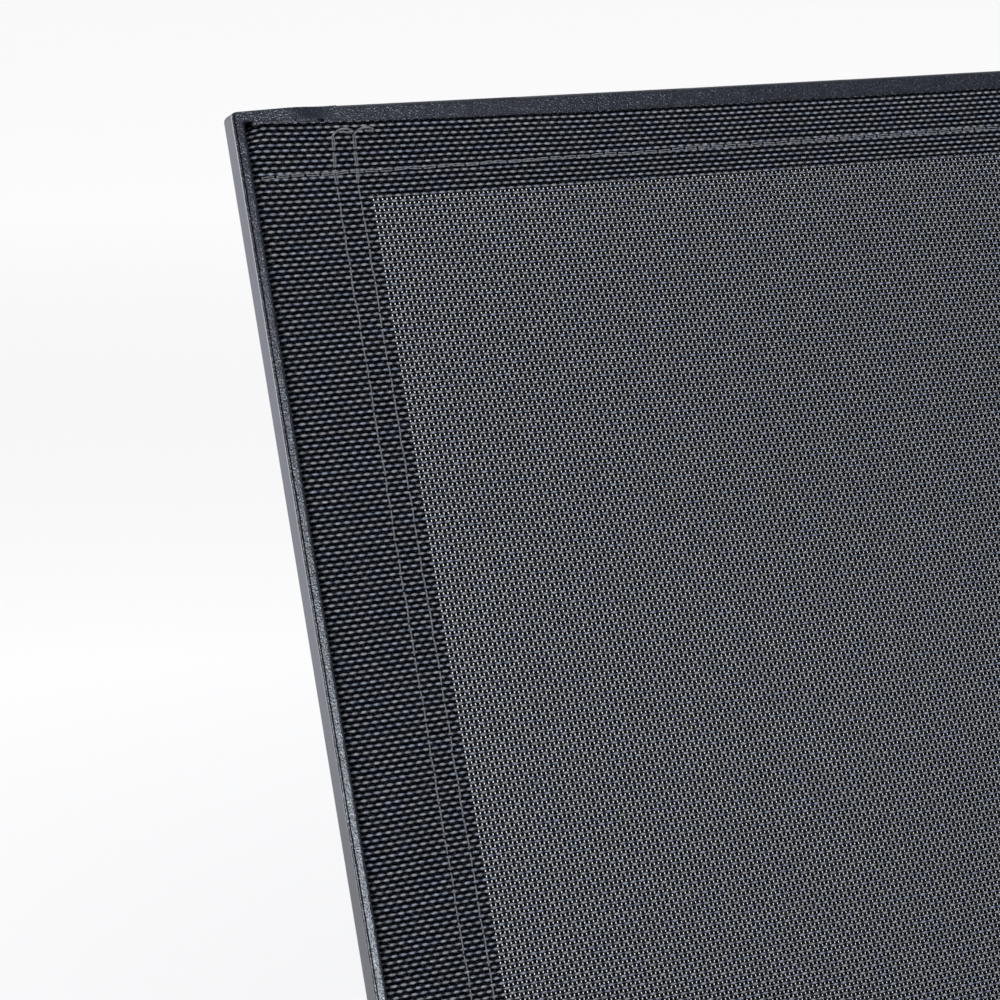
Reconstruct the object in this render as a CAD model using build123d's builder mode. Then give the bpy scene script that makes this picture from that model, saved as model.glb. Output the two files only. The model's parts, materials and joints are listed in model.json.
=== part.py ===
"""Reclining sun lounger of sling and aluminium, in millimetres.

X runs across the lounger, Y along it with the head end at +Y, and Z up from the ground.
The origin lies on the ground below the middle of the frame. The backrest stands at its
steepest notch, where a folding strut holds it on two toothed racks.

The backrest is drawn lying flat, with its hinge axis as the origin: x across, y up the
backrest and z towards the person. on_back() then places each drawing at BACK_ANGLE.
"""

import os
from math import cos, radians, sin

from build123d import *

# Overall sizes
FRAME_LENGTH = 1930.0  # over the end caps
FRAME_WIDTH = 640.0  # over the outer faces of the base rails
FRAME_TOP = 330.0  # ground to the top of the base rails
BACK_LENGTH = 712.0  # hinge axis to the top edge of the backrest
BACK_ANGLE = 70.0  # at the steepest notch, from the horizontal
LOWER_ANGLES = (58.0, 45.0, 30.0)  # the other notches

# Clearances
FIT = 0.1  # on the diameter of pieces that are fixed in each other
RUNNING = 0.3  # between surfaces that turn or slide on each other
SIDE_GAP = 2.4  # between the backrest and each base rail when it lies flat
TOP_GAP = 4.0  # between the backrest and the head rail when it lies flat

# The sling rails: a lip, a slot with a bore for the sling's edge rod, and a hollow body
RAIL_WIDTH = 26.0
BACK_RAIL_DEPTH = 22.0
BASE_RAIL_DEPTH = 45.0
RAIL_WALL = 1.5
LIP_WIDTH = 3.6
LIP_STEP = 2.0  # from the lip down to the shelf that the sling lies on
LIP_ROUND = 1.2
EDGE_ROUND = 0.4
BEND_ROUND = 1.5  # where the outer face turns into the slant, and at the back
INNER_ROUND = 2.0
SLOT_ROUND = 0.6
SLOT_WIDTH = 2.4
BORE_DIAMETER = 6.0
BORE_DEPTH = 6.3  # from the lip to the middle of the bore
BORE_SHIFT = 1.7  # from the middle of the slot to the middle of the bore
GROOVE_INSET = 0.5
GROOVE_WIDTH = 0.5
GROOVE_DEPTH = 0.5
BACK_FLAT = 5.0  # height of the back rail's outer face, before it slants to the back
BACK_SLANT = 14.0  # how far that slant runs inward
BASE_SLANT = 4.0  # the chamfer along the bottom of a base rail

# Top rail and corners of the backrest
TOP_RAIL_HEIGHT = 18.0
TOP_RAIL_BOW = 5.0
CORNER_ARM = 4.0  # from the side rail's inner face to the top rail
CORNER_LIP = 3.4  # the lip along the top of a corner
CORNER_DROP = 0.8  # from the top rail down to the outer end of that lip
CORNER_ROUND = 1.7
TOP_EDGE_ROUND = 1.0  # along the front of the top rail
CORNER_FALL_LENGTH = 16.0  # over which the lip falls back to the top rail
CORNER_FALL = 0.2  # from the shelf down to the front face of the top rail

# Sling
SLING_THICKNESS = 0.8
SLING_REVEAL = 4.8  # what the sling's end leaves bare of the top and foot rails
ROD_DIAMETER = 3.9

# Cross rails and tubes
CROSS_RAIL_DEPTH = 26.0
BOX_ROUND = 3.0
FOOT_LIP = 4.0
BACK_START = 4.0  # from the hinge axis to the lower end of the back rails
BOTTOM_RAIL_START = 10.0
BOTTOM_RAIL_HEIGHT = 26.0
BOTTOM_RAIL_DEPTH = 18.0
BACK_TUBE = 18.0
BACK_TUBE_S = 240.0
SEAT_TUBE = 25.0
SEAT_TUBE_Z = 300.0
SEAT_TUBE_OFFSET = 70.0  # from the hinge axis to the rear seat tube
SEAT_SLING_END = 32.0  # from the hinge axis to the rear end of the seat sling
TUBE_WALL = 1.5

# Legs
LEG_WIDTH = 22.0
LEG_DEPTH = 45.0
LEG_ROUND = 4.0
FRONT_LEG_INSET = 104.5  # from the end of the rail to the middle of the leg
REAR_LEG_INSET = 59.5
GLIDE_HEIGHT = 12.0
GLIDE_RIM = 1.0
GLIDE_PLUG = 18.0
STRETCHER_TUBE = 22.0
STRETCHER_Z = 120.0

# Hinge
HINGE_DEPTH = 34.0  # from the lip plane down to the hinge axis
HINGE_BOLT = 8.0
HINGE_HEAD = 18.0
HINGE_HEAD_HEIGHT = 3.0
HINGE_NUT = 13.0
NUT_HEIGHT = 6.5
SPACER_DIAMETER = 16.0
EAR_THICKNESS = 6.0
EAR_INSET = 15.0  # from the outer face of the back rail to the ear
EAR_RADIUS = 11.5
EAR_BORE = 12.0
EAR_START = 8.0
EAR_END = 62.0

# Strut: it is as long as its pivot is far from the hinge, so its foot runs level
FOOT_BAR_INSET = 112.0  # from the flat backrest's top edge to the foot bar below it
STRUT_WIDTH = 12.0
STRUT_DEPTH = 20.0
WASHER_GAP = 3.0  # between the strut leg and its bracket
WASHER_DIAMETER = 16.0
PIN_HEAD = 14.0
PIN_HEAD_HEIGHT = 3.5
BRACKET_RADIUS = 10.0
BRACKET_FOOT = 50.0  # length of the bracket along the back rail
FOOT_BAR = 16.0
FOOT_BAR_CAP = 2.5
STAY_TUBE = 12.0
STAY_DISTANCE = 80.0  # from the strut's pivot

# Racks
RACK_WEB = 6.0
RACK_WEB_HEIGHT = 20.0
RACK_GAP = 4.0  # between the web and the base rail
RACK_FLANGE = 28.0
FLANGE_THICKNESS = 3.0
RACK_FRONT = 122.0  # from the hinge axis
RACK_TAIL = 12.0  # past the foot bar's place when the backrest lies flat
STOP_LUG_HEIGHT = 10.0
NOTCH_DEPTH = 5.0
NOTCH_RAMP = 14.0
NOTCH_FLOOR = 4.0
NOTCH_WALL = 7.0
BOLT = 5.0
BOLT_HEAD = 10.0
BOLT_HEAD_HEIGHT = 3.0
BOLT_GRIP = 14.0
BOLT_INSET = 10.0  # from the inner face of the base rail
RACK_BOLTS = 3

# Rests for the flat backrest
REST_GAP = 8.0  # from the end of the rack to the rest plate
REST_LENGTH = 32.0
PAD_LENGTH = 20.0
PAD_WIDTH = 11.0

END_CAP = 3.0
BACK_PLUG = 2.0

# Places that follow from the sizes above
HINGE_Z = FRAME_TOP - HINGE_DEPTH
RAIL_OUTER = FRAME_WIDTH / 2
RAIL_INNER = RAIL_OUTER - RAIL_WIDTH
RAIL_END = FRAME_LENGTH / 2 - END_CAP
RAIL_BOTTOM = FRAME_TOP - BASE_RAIL_DEPTH
HINGE_Y = RAIL_END - CROSS_RAIL_DEPTH - TOP_GAP - BACK_LENGTH
STRUT_LENGTH = (BACK_LENGTH - FOOT_BAR_INSET) / 2
CORNER_LEG = RAIL_WIDTH + CORNER_ARM
CORNER_FALL_START = CORNER_LEG - CORNER_FALL_LENGTH
SEAT_TUBE_REAR_Y = HINGE_Y - SEAT_TUBE_OFFSET
SEAT_TUBE_FRONT_Y = (SEAT_TUBE_REAR_Y - RAIL_END) / 2
FRONT_LEG_Y = FRONT_LEG_INSET - RAIL_END
REAR_LEG_Y = RAIL_END - REAR_LEG_INSET
BACK_OUTER = RAIL_INNER - SIDE_GAP
BACK_INNER = BACK_OUTER - RAIL_WIDTH
BACK_REAR = HINGE_DEPTH - BACK_RAIL_DEPTH
SHELF = HINGE_DEPTH - LIP_STEP
BORE_X = LIP_WIDTH + SLOT_WIDTH / 2 + BORE_SHIFT
EAR_OUTER = BACK_OUTER - EAR_INSET
EAR_INNER = EAR_OUTER - EAR_THICKNESS
STRUT_OUTER = EAR_INNER - WASHER_GAP
STRUT_INNER = STRUT_OUTER - STRUT_WIDTH
RACK_OUTER = RAIL_INNER - RACK_GAP
RACK_TOP = HINGE_Z - FOOT_BAR / 2 - RUNNING
BOLT_X = RAIL_INNER + BOLT_INSET
LEG_X = RAIL_INNER + LEG_WIDTH / 2
TOP_FACE = SHELF - CORNER_FALL

BACK = Plane(
    origin=(0, HINGE_Y, HINGE_Z),
    x_dir=(1, 0, 0),
    z_dir=(0, -sin(radians(BACK_ANGLE)), cos(radians(BACK_ANGLE))),
)
PIVOT = BACK.from_local_coords(Vector(0, STRUT_LENGTH, 0))
STRUT = Plane(
    origin=PIVOT,
    x_dir=(1, 0, 0),
    z_dir=(0, sin(radians(BACK_ANGLE)), cos(radians(BACK_ANGLE))),
)


def on_back(plane):
    """A plane of the flat backrest, moved to where the backrest stands."""
    return Plane(BACK.location * plane.location)


def across(x, y=0.0, z=0.0):
    """Side view from +X, at x: its x runs along Y and its y along Z."""
    return Plane(origin=(x, y, z), x_dir=(0, 1, 0), z_dir=(1, 0, 0))


def endways(x, y, z):
    """End view from -Y, at y: its x runs along X and its y along Z."""
    return Plane(origin=(x, y, z), x_dir=(1, 0, 0), z_dir=(0, -1, 0))


def save(name, part):
    """Label a finished piece and write it."""
    part.label = name
    export_step(part, f"parts/{name}.step")


def save_pair(name, left):
    """Write a piece of the left side and its mirror image on the right."""
    with BuildPart() as right:
        mirror(left, about=Plane.YZ)
    save(f"{name}_left", left)
    save(f"{name}_right", right.part)


def save_group(name, left):
    """Write a piece of the left side and its mirror image as one node."""
    with BuildPart() as both:
        add(left)
        mirror(left, about=Plane.YZ)
    save(name, both.part)


def tube(plane, diameter, half_length):
    """A round tube centred on the plane."""
    with BuildPart() as round_tube:
        with BuildSketch(plane):
            Circle(diameter / 2)
            Circle(diameter / 2 - TUBE_WALL, mode=Mode.SUBTRACT)
        extrude(amount=half_length, both=True)
    return round_tube.part


def rod(plane, diameter, length, bore=0.0):
    """A round bar or ring that starts on the plane."""
    with BuildPart() as bar:
        with BuildSketch(plane):
            Circle(diameter / 2)
            if bore:
                Circle(bore / 2, mode=Mode.SUBTRACT)
        extrude(amount=length)
    return bar.part


def rail_outline(depth, flat, slant, top=0.0):
    """The closed outline of a sling rail without its slot, up to the height top."""
    return (
        (0, -flat),
        (0, top),
        (RAIL_WIDTH, top),
        (RAIL_WIDTH, -depth),
        (slant, -depth),
    )


def rail_section(depth, flat, slant, hollow=True):
    """A sling rail's section: x runs inward from the outer face, y is 0 at the lip."""
    slot_end = LIP_WIDTH + SLOT_WIDTH
    bore_wall = BORE_DIAMETER / 2 + RAIL_WALL
    with BuildSketch() as cavity:
        Polygon(*rail_outline(depth, flat, slant, -LIP_STEP), align=None)
        offset(amount=-RAIL_WALL, kind=Kind.INTERSECTION, mode=Mode.REPLACE)
        with Locations((BORE_X + bore_wall, -BORE_DEPTH - bore_wall)):
            Rectangle(RAIL_WIDTH, depth, align=(Align.MAX, Align.MIN), mode=Mode.SUBTRACT)
    with BuildSketch() as section:
        with BuildLine():
            FilletPolyline(
                (0, -flat),
                (0, 0),
                (LIP_WIDTH, 0),
                (LIP_WIDTH, -BORE_DEPTH),
                (slot_end, -BORE_DEPTH),
                (slot_end, -LIP_STEP),
                (RAIL_WIDTH, -LIP_STEP),
                (RAIL_WIDTH, -depth),
                (slant, -depth),
                radius=[BEND_ROUND, EDGE_ROUND, LIP_ROUND, 0, 0, SLOT_ROUND, INNER_ROUND]
                + 2 * [BEND_ROUND],
                close=True,
            )
        make_face()
        with Locations((BORE_X, -BORE_DEPTH)):
            Circle(BORE_DIAMETER / 2, mode=Mode.SUBTRACT)
        with Locations((GROOVE_INSET, 0)):
            Rectangle(
                GROOVE_WIDTH,
                2 * GROOVE_DEPTH,
                align=(Align.MIN, Align.CENTER),
                mode=Mode.SUBTRACT,
            )
        if hollow:
            add(cavity.sketch, mode=Mode.SUBTRACT)
    return section.sketch


def rail_cap(depth, flat, slant):
    """The outline of a sling rail with its slot closed, for the cap on its end."""
    with BuildSketch() as cap:
        with BuildLine():
            FilletPolyline(*rail_outline(depth, flat, slant), radius=BEND_ROUND, close=True)
        make_face()
    return cap.sketch


def sling(plane, outer, length):
    """A sling between two rails: a sheet, and at each side a loop round its edge rod."""
    neck = 2 * SLING_THICKNESS
    neck_x = outer - LIP_WIDTH - SLOT_WIDTH / 2
    sheet_y = -LIP_STEP + RUNNING
    sheet_top = sheet_y + SLING_THICKNESS
    loop = BORE_DIAMETER / 2 - RUNNING
    with BuildPart() as sheet:
        with BuildSketch(plane):
            with Locations((0, sheet_y)):
                Rectangle(2 * neck_x + neck, SLING_THICKNESS, align=(Align.CENTER, Align.MIN))
            for side in (-1, 1):
                with Locations((side * neck_x, sheet_top)):
                    Rectangle(neck, sheet_top + BORE_DEPTH, align=(Align.CENTER, Align.MAX))
                with Locations((side * (outer - BORE_X), -BORE_DEPTH)):
                    Circle(loop)
                    Circle((ROD_DIAMETER + FIT) / 2, mode=Mode.SUBTRACT)
        extrude(amount=length)
    return sheet.part


os.makedirs("parts", exist_ok=True)

# Base rails, with the hinge bolt's hole, the bolt holes and their end caps
rack_back = HINGE_Y + 2 * STRUT_LENGTH + RACK_TAIL
rack_front = HINGE_Y + RACK_FRONT
rack_pitch = (rack_back - rack_front) / RACK_BOLTS
rack_bolt_ys = [rack_front + rack_pitch * (i + 0.5) for i in range(RACK_BOLTS)]
rest_bolt_y = rack_back + REST_GAP + REST_LENGTH / 2
bolt_places = [(-BOLT_X, y) for y in [*rack_bolt_ys, rest_bolt_y]]

base_flat = BASE_RAIL_DEPTH - BASE_SLANT
base_section = rail_section(BASE_RAIL_DEPTH, base_flat, BASE_SLANT)
base_cap = rail_cap(BASE_RAIL_DEPTH, base_flat, BASE_SLANT)

with BuildPart() as base_rail:
    with BuildSketch(endways(-RAIL_OUTER, RAIL_END, FRAME_TOP)):
        add(base_section)
    extrude(amount=2 * RAIL_END)
    with BuildSketch(across(-RAIL_OUTER, HINGE_Y, HINGE_Z)):
        Circle((HINGE_BOLT + FIT) / 2)
    extrude(amount=RAIL_WIDTH, mode=Mode.SUBTRACT)
    with BuildSketch(Plane.XY.offset(RAIL_BOTTOM)):
        with Locations(*bolt_places):
            Circle((BOLT + FIT) / 2)
    extrude(amount=2 * RAIL_WALL, mode=Mode.SUBTRACT)
save_pair("base_rail", base_rail.part)

with BuildPart() as end_caps:
    for end in (RAIL_END + END_CAP, -RAIL_END):
        with BuildSketch(endways(-RAIL_OUTER, end, FRAME_TOP)):
            add(base_cap)
        extrude(amount=END_CAP)
save_group("rail_end_caps", end_caps.part)

# Foot rail, with its own lip, and head rail
with BuildPart() as foot_rail:
    with BuildSketch(across(0, -RAIL_END, RAIL_BOTTOM)):
        foot_top = BASE_RAIL_DEPTH
        with BuildLine():
            FilletPolyline(
                (0, 0),
                (0, foot_top),
                (FOOT_LIP, foot_top),
                (FOOT_LIP, foot_top - LIP_STEP),
                (CROSS_RAIL_DEPTH, foot_top - LIP_STEP),
                (CROSS_RAIL_DEPTH, 0),
                radius=[BOX_ROUND, BEND_ROUND, LIP_ROUND, 0, INNER_ROUND, BOX_ROUND],
                close=True,
            )
        make_face()
        with Locations((RAIL_WALL, RAIL_WALL)):
            Rectangle(
                CROSS_RAIL_DEPTH - 2 * RAIL_WALL,
                foot_top - LIP_STEP - 2 * RAIL_WALL,
                align=(Align.MIN, Align.MIN),
                mode=Mode.SUBTRACT,
            )
    extrude(amount=RAIL_INNER, both=True)
save("foot_rail", foot_rail.part)

with BuildPart() as head_rail:
    with BuildSketch(across(0, RAIL_END - CROSS_RAIL_DEPTH / 2, FRAME_TOP - BASE_RAIL_DEPTH / 2)):
        RectangleRounded(CROSS_RAIL_DEPTH, BASE_RAIL_DEPTH, BOX_ROUND)
        Rectangle(
            CROSS_RAIL_DEPTH - 2 * RAIL_WALL, BASE_RAIL_DEPTH - 2 * RAIL_WALL, mode=Mode.SUBTRACT
        )
    extrude(amount=RAIL_INNER, both=True)
save("head_rail", head_rail.part)

# Tubes that hold the base rails apart below the seat
save("seat_tube_front", tube(across(0, SEAT_TUBE_FRONT_Y, SEAT_TUBE_Z), SEAT_TUBE, RAIL_INNER))
save("seat_tube_rear", tube(across(0, SEAT_TUBE_REAR_Y, SEAT_TUBE_Z), SEAT_TUBE, RAIL_INNER))

# Legs, their glides and the stretchers between them
glides = []
for end, leg_y in (("front", FRONT_LEG_Y), ("rear", REAR_LEG_Y)):
    with BuildPart() as leg:
        with BuildSketch(Plane.XY.offset(GLIDE_HEIGHT)):
            with Locations((-LEG_X, leg_y)):
                RectangleRounded(LEG_WIDTH, LEG_DEPTH, LEG_ROUND)
                RectangleRounded(
                    LEG_WIDTH - 2 * TUBE_WALL,
                    LEG_DEPTH - 2 * TUBE_WALL,
                    LEG_ROUND - TUBE_WALL,
                    mode=Mode.SUBTRACT,
                )
        extrude(amount=RAIL_BOTTOM - GLIDE_HEIGHT)
    save_pair(f"leg_{end}", leg.part)
    with BuildPart() as glide:
        with BuildSketch():
            with Locations((-LEG_X, leg_y)):
                RectangleRounded(
                    LEG_WIDTH + 2 * GLIDE_RIM, LEG_DEPTH + 2 * GLIDE_RIM, LEG_ROUND + GLIDE_RIM
                )
        extrude(amount=GLIDE_HEIGHT)
        with BuildSketch(Plane.XY.offset(GLIDE_HEIGHT)):
            with Locations((-LEG_X, leg_y)):
                RectangleRounded(
                    LEG_WIDTH - 2 * TUBE_WALL - FIT,
                    LEG_DEPTH - 2 * TUBE_WALL - FIT,
                    LEG_ROUND - TUBE_WALL,
                )
        extrude(amount=GLIDE_PLUG)
    glides.append(glide.part)
    save(f"stretcher_{end}", tube(across(0, leg_y, STRETCHER_Z), STRETCHER_TUBE, RAIL_INNER))
for end, glide in zip(("front", "rear"), glides):
    save_group(f"glides_{end}", glide)

# Racks: a toothed web with a flange under the base rail and a stop lug at the front
notch_angles = (BACK_ANGLE, *LOWER_ANGLES)
notch_ys = [HINGE_Y + 2 * STRUT_LENGTH * cos(radians(angle)) for angle in notch_angles]
with BuildPart() as rack:
    with BuildSketch(across(-RACK_OUTER)):
        with Locations((rack_front, RACK_TOP)):
            Rectangle(
                rack_back - rack_front, RACK_WEB_HEIGHT, align=(Align.MIN, Align.MAX)
            )
            Rectangle(NOTCH_RAMP, STOP_LUG_HEIGHT, align=(Align.MIN, Align.MIN))
        for y in notch_ys:
            Polygon(
                (y - NOTCH_RAMP, RACK_TOP),
                (y - NOTCH_FLOOR, RACK_TOP - NOTCH_DEPTH),
                (y + NOTCH_FLOOR, RACK_TOP - NOTCH_DEPTH),
                (y + NOTCH_WALL, RACK_TOP),
                align=None,
                mode=Mode.SUBTRACT,
            )
    extrude(amount=RACK_WEB)
    with BuildSketch(Plane.XY.offset(RAIL_BOTTOM - FLANGE_THICKNESS)):
        with Locations((-RACK_OUTER, rack_front)):
            Rectangle(RACK_FLANGE - RACK_WEB, rack_back - rack_front, align=(Align.MAX, Align.MIN))
        with Locations(*bolt_places[:RACK_BOLTS]):
            Circle((BOLT + FIT) / 2, mode=Mode.SUBTRACT)
    extrude(amount=FLANGE_THICKNESS)
save_pair("rack", rack.part)

# Rests: a plate under each base rail, with a rubber pad that the flat backrest lies on
pad_x = BACK_OUTER - BACK_SLANT - PAD_WIDTH / 2
with BuildPart() as rest_plate:
    with BuildSketch(Plane.XY.offset(RAIL_BOTTOM - FLANGE_THICKNESS)):
        with Locations((-BOLT_X - BOLT_HEAD, rest_bolt_y)):
            Rectangle(
                BOLT_X + BOLT_HEAD - pad_x + PAD_WIDTH, REST_LENGTH, align=(Align.MIN, Align.CENTER)
            )
        with Locations(bolt_places[-1]):
            Circle((BOLT + FIT) / 2, mode=Mode.SUBTRACT)
    extrude(amount=FLANGE_THICKNESS)
save_pair("rest_plate", rest_plate.part)

with BuildPart() as rest_pad:
    with BuildSketch(Plane.XY.offset(RAIL_BOTTOM)):
        with Locations((-pad_x, rest_bolt_y)):
            RectangleRounded(PAD_WIDTH, PAD_LENGTH, BOX_ROUND)
    extrude(amount=HINGE_Z + BACK_REAR - RUNNING - RAIL_BOTTOM)
save_group("rest_pads", rest_pad.part)

# Bolts that hold the racks and the rests
with BuildPart() as frame_bolts:
    with BuildSketch(Plane.XY.offset(RAIL_BOTTOM - FLANGE_THICKNESS - BOLT_HEAD_HEIGHT)):
        with Locations(*bolt_places):
            Circle(BOLT_HEAD / 2)
    extrude(amount=BOLT_HEAD_HEIGHT)
    with BuildSketch(Plane.XY.offset(RAIL_BOTTOM - FLANGE_THICKNESS)):
        with Locations(*bolt_places):
            Circle(BOLT / 2)
    extrude(amount=BOLT_GRIP)
save_group("frame_bolts", frame_bolts.part)

# Hinge: bolt, spacer and nut stay with the base, ear and bush with the backrest
with BuildPart() as hinge_bolt:
    with BuildSketch(across(-RAIL_OUTER - HINGE_HEAD_HEIGHT, HINGE_Y, HINGE_Z)):
        Circle(HINGE_HEAD / 2)
    extrude(amount=HINGE_HEAD_HEIGHT)
    chamfer(edges().filter_by(GeomType.CIRCLE).sort_by(Axis.X)[0], HINGE_HEAD_HEIGHT / 3)
    with BuildSketch(across(-RAIL_OUTER, HINGE_Y, HINGE_Z)):
        Circle(HINGE_BOLT / 2)
    extrude(amount=RAIL_OUTER - EAR_INNER + NUT_HEIGHT + RUNNING)
save_group("hinge_bolts", hinge_bolt.part)

with BuildPart() as hinge_nut:
    with BuildSketch(across(-EAR_INNER + RUNNING, HINGE_Y, HINGE_Z)):
        RegularPolygon(HINGE_NUT / 2, 6, major_radius=False)
        Circle((HINGE_BOLT + FIT) / 2, mode=Mode.SUBTRACT)
    extrude(amount=NUT_HEIGHT)
save_group("hinge_nuts", hinge_nut.part)

spacer_plane = across(-RAIL_INNER, HINGE_Y, HINGE_Z)
spacer_length = RAIL_INNER - EAR_OUTER - RUNNING
save_group(
    "hinge_spacers", rod(spacer_plane, SPACER_DIAMETER, spacer_length, HINGE_BOLT + FIT)
)

with BuildPart() as ear:
    with BuildSketch(on_back(across(-EAR_OUTER))):
        outline = [
            *Circle(EAR_RADIUS, mode=Mode.PRIVATE).edges(),
            Edge.make_line((EAR_START, BACK_REAR), (EAR_END, BACK_REAR)),
        ]
        make_hull(outline)
        Circle(EAR_BORE / 2, mode=Mode.SUBTRACT)
    extrude(amount=EAR_THICKNESS)
save_pair("hinge_ear", ear.part)

bush = rod(on_back(across(-EAR_OUTER)), EAR_BORE - FIT, EAR_THICKNESS, HINGE_BOLT + 2 * RUNNING)
save_group("hinge_bushes", bush)

# Side rails of the backrest and the plugs in their lower ends
back_section = rail_section(BACK_RAIL_DEPTH, BACK_FLAT, BACK_SLANT)
back_cap = rail_cap(BACK_RAIL_DEPTH, BACK_FLAT, BACK_SLANT)
back_rail_top = BACK_LENGTH - CORNER_LEG

with BuildPart() as back_rail:
    with BuildSketch(on_back(endways(-BACK_OUTER, back_rail_top, HINGE_DEPTH))):
        add(back_section)
    extrude(amount=back_rail_top - BACK_START)
save_pair("back_rail", back_rail.part)

with BuildPart() as back_plug:
    with BuildSketch(on_back(endways(-BACK_OUTER, BACK_START, HINGE_DEPTH))):
        add(back_cap)
    extrude(amount=BACK_PLUG)
save_group("back_rail_plugs", back_plug.part)


def top_rail_plan(front_inset, rear_inset=0.0):
    """Plan of the bowed top rail, or of what is left of it inside these insets."""
    end = BACK_OUTER - CORNER_LEG
    front = TOP_FACE - front_inset
    rear = BACK_REAR + rear_inset
    with BuildSketch() as plan:
        with BuildLine():
            ThreePointArc((-end, front), (0, front - TOP_RAIL_BOW), (end, front))
            Line((end, front), (end, rear))
            ThreePointArc((end, rear), (0, rear - TOP_RAIL_BOW), (-end, rear))
            Line((-end, rear), (-end, front))
        make_face()
    return plan.sketch


# Corners: the side rail's section below, an arm to the top rail and a lip over both. The
# lip is flat at the side, then falls back to the top rail, and its top drops outward.
fall_middle = (CORNER_FALL_START + CORNER_LEG) / 2
with BuildSketch() as lip_plan:
    with BuildLine():
        FilletPolyline(
            (CORNER_LEG, TOP_FACE),
            (CORNER_LEG, BACK_REAR),
            (BACK_SLANT, BACK_REAR),
            (0, HINGE_DEPTH - BACK_FLAT),
            (0, HINGE_DEPTH),
            (CORNER_FALL_START, HINGE_DEPTH),
            radius=[0, BEND_ROUND, BEND_ROUND, 0],
        )
        Bezier(
            (CORNER_FALL_START, HINGE_DEPTH),
            (fall_middle, HINGE_DEPTH),
            (fall_middle, TOP_FACE),
            (CORNER_LEG, TOP_FACE),
        )
    make_face()

corner_section = rail_section(BACK_RAIL_DEPTH, BACK_FLAT, BACK_SLANT, hollow=False)
lip_start = BACK_LENGTH - CORNER_LIP
arm_height = TOP_RAIL_HEIGHT - CORNER_LIP
back_axis = Axis(BACK.origin, BACK.y_dir)
front_axis = Axis(BACK.origin, BACK.z_dir)

with BuildPart() as back_corner:
    with BuildSketch(on_back(endways(-BACK_OUTER, BACK_LENGTH, 0))):
        add(lip_plan.sketch)
    extrude(amount=CORNER_LIP)
    with BuildSketch(BACK):
        Polygon(
            (-BACK_OUTER, BACK_LENGTH),
            (-BACK_OUTER, BACK_LENGTH - CORNER_DROP),
            (CORNER_LEG - BACK_OUTER, BACK_LENGTH),
            align=None,
        )
    extrude(amount=HINGE_DEPTH + LIP_STEP, mode=Mode.SUBTRACT)
    outer_edges = edges().filter_by(front_axis).group_by(Axis.X)[0]
    fillet(outer_edges.sort_by(back_axis)[-1], CORNER_ROUND)
    fillet(faces().sort_by(front_axis)[-1].edges().sort_by(Axis.X)[0], EDGE_ROUND)
    with BuildSketch(on_back(endways(-BACK_OUTER + GROOVE_INSET, BACK_LENGTH, HINGE_DEPTH))):
        Rectangle(GROOVE_WIDTH, 2 * GROOVE_DEPTH, align=(Align.MIN, Align.CENTER))
    extrude(amount=CORNER_LIP, mode=Mode.SUBTRACT)
    with BuildSketch(on_back(endways(-BACK_OUTER, lip_start, HINGE_DEPTH))):
        add(corner_section)
    extrude(amount=CORNER_LEG - CORNER_LIP)
    with BuildSketch(on_back(endways(-BACK_OUTER + RAIL_WIDTH, lip_start, BACK_REAR))):
        Rectangle(CORNER_ARM, TOP_FACE - BACK_REAR, align=(Align.MIN, Align.MIN))
    extrude(amount=arm_height)
save_pair("back_corner", back_corner.part)

# Top rail: bowed back and hollow
top_plan = top_rail_plan(0.0)
top_hollow = top_rail_plan(RAIL_WALL, RAIL_WALL)
with BuildPart() as top_rail:
    with BuildSketch(on_back(endways(0, BACK_LENGTH, 0))):
        add(top_plan)
    extrude(amount=TOP_RAIL_HEIGHT)
    long_edges = edges().filter_by(GeomType.CIRCLE)
    fillet(long_edges.group_by(back_axis)[-1].sort_by(front_axis)[-1], TOP_EDGE_ROUND)
    long_edges = edges().filter_by(GeomType.CIRCLE)
    fillet(long_edges.group_by(back_axis)[-1].sort_by(front_axis)[0], CORNER_ROUND)
    with BuildSketch(on_back(endways(0, BACK_LENGTH - RAIL_WALL, 0))):
        add(top_hollow)
    extrude(amount=TOP_RAIL_HEIGHT - 2 * RAIL_WALL, mode=Mode.SUBTRACT)
save("back_top_rail", top_rail.part)

# Bottom rail and tube between the side rails
bottom_middle = BACK_REAR + BOTTOM_RAIL_DEPTH / 2
with BuildPart() as bottom_rail:
    with BuildSketch(on_back(across(0))):
        with Locations((BOTTOM_RAIL_START + BOTTOM_RAIL_HEIGHT / 2, bottom_middle)):
            RectangleRounded(BOTTOM_RAIL_HEIGHT, BOTTOM_RAIL_DEPTH, BOX_ROUND)
            Rectangle(
                BOTTOM_RAIL_HEIGHT - 2 * RAIL_WALL,
                BOTTOM_RAIL_DEPTH - 2 * RAIL_WALL,
                mode=Mode.SUBTRACT,
            )
    extrude(amount=BACK_INNER, both=True)
save("back_bottom_rail", bottom_rail.part)
save("back_tube", tube(on_back(across(0, BACK_TUBE_S, bottom_middle)), BACK_TUBE, BACK_INNER))

# Brackets on the back rails for the strut, with its pins, washers and nuts
with BuildPart() as bracket:
    with BuildSketch(on_back(across(-EAR_OUTER))):
        with Locations((STRUT_LENGTH, 0)):
            Circle(BRACKET_RADIUS)
        foot = Edge.make_line(
            (STRUT_LENGTH - BRACKET_FOOT / 2, BACK_REAR), (STRUT_LENGTH + BRACKET_FOOT / 2, BACK_REAR)
        )
        make_hull([*edges(), foot])
        with Locations((STRUT_LENGTH, 0)):
            Circle((HINGE_BOLT + FIT) / 2, mode=Mode.SUBTRACT)
    extrude(amount=EAR_THICKNESS)
save_pair("strut_bracket", bracket.part)

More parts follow.
